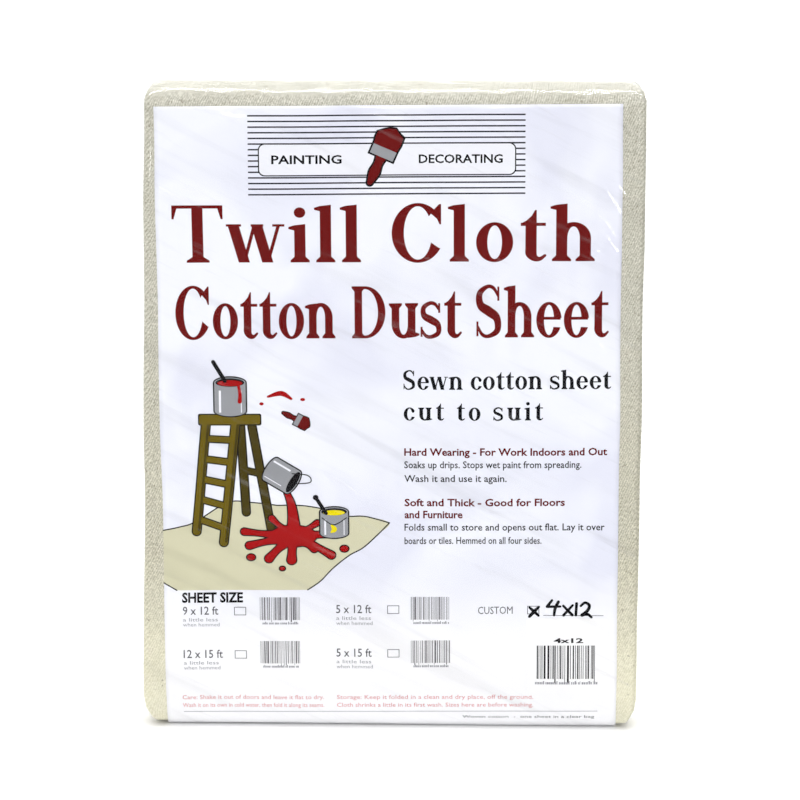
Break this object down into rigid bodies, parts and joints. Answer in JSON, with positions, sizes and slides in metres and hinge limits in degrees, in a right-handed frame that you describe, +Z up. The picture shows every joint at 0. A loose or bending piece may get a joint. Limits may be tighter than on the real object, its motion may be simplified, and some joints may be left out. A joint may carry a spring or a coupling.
{
  "type": "packaged canvas drop cloth",
  "caption": "Canvas drop cloth folded into a flat block, in a clear film bag with a printed paper insert under the front film and a flap taped down at the back.",
  "frame": {"origin": "centre of the pack's underside, on the surface that it stands on", "axes": "+Z up along the pack's height, +X along its width to the right of the printed face, +Y from the printed face to the back"},
  "size_m": [0.3096, 0.0344, 0.4043],
  "materials": {
    "canvas": "matte",
    "thread": "matte",
    "insert": "satin",
    "sticker": "satin",
    "film": "gloss",
    "tape": "gloss"
  },
  "bodies": {
    "pack": {"canvas_sheet": "canvas", "long_hem_1": "canvas", "long_hem_2": "canvas", "long_hem_thread_1": "thread", "long_hem_thread_2": "thread", "outer_end_hem": "canvas", "inner_end_hem": "canvas", "outer_hem_stitches": "thread", "inner_hem_stitches": "thread", "insert_sheet": "insert", "size_sticker": "sticker", "bag_front_film": "film", "bag_back_film": "film", "bag_bottom_film": "film", "bag_seam_left": "film", "bag_seam_right": "film"},
    "flap": {"bag_flap": "film", "closure_tape_left": "tape", "closure_tape_right": "tape"}
  },
  "joints": [
    {"name": "flap_fold", "type": "hinge", "parent": "pack", "child": "flap", "pos_m": [0.00395, 0.01717, 0.3874], "axis": [1, 0, 0], "range_deg": [0, 165]}
  ]
}
